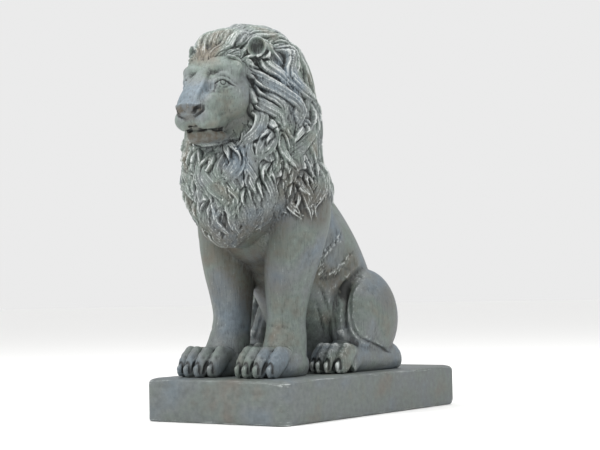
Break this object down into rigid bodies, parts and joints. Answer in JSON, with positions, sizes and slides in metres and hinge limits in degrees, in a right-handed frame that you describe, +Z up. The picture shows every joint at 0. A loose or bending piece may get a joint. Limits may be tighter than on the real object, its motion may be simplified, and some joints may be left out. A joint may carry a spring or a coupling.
{
  "type": "seated lion statue",
  "caption": "Seated male lion with a full mane, forelegs upright and paws together, on a low rectangular plinth; a garden guardian figure that stands by its own weight.",
  "frame": {"origin": "centre of the plinth's underside", "axes": "+Z up, -Y the way the lion looks, +X to the lion's left"},
  "size_m": [0.303, 0.6141, 0.6943],
  "materials": {
    "lion_stone": "cast resin stone, blue-grey and green-grey patina with dark hollows, olive stains and pale rubbed edges, semi-matte",
    "plinth_stone": "cast resin stone, slate grey with faint scratches and worn corners, semi-matte"
  },
  "bodies": {
    "root": {"lion": "lion_stone", "plinth": "plinth_stone"}
  },
  "joints": []
}
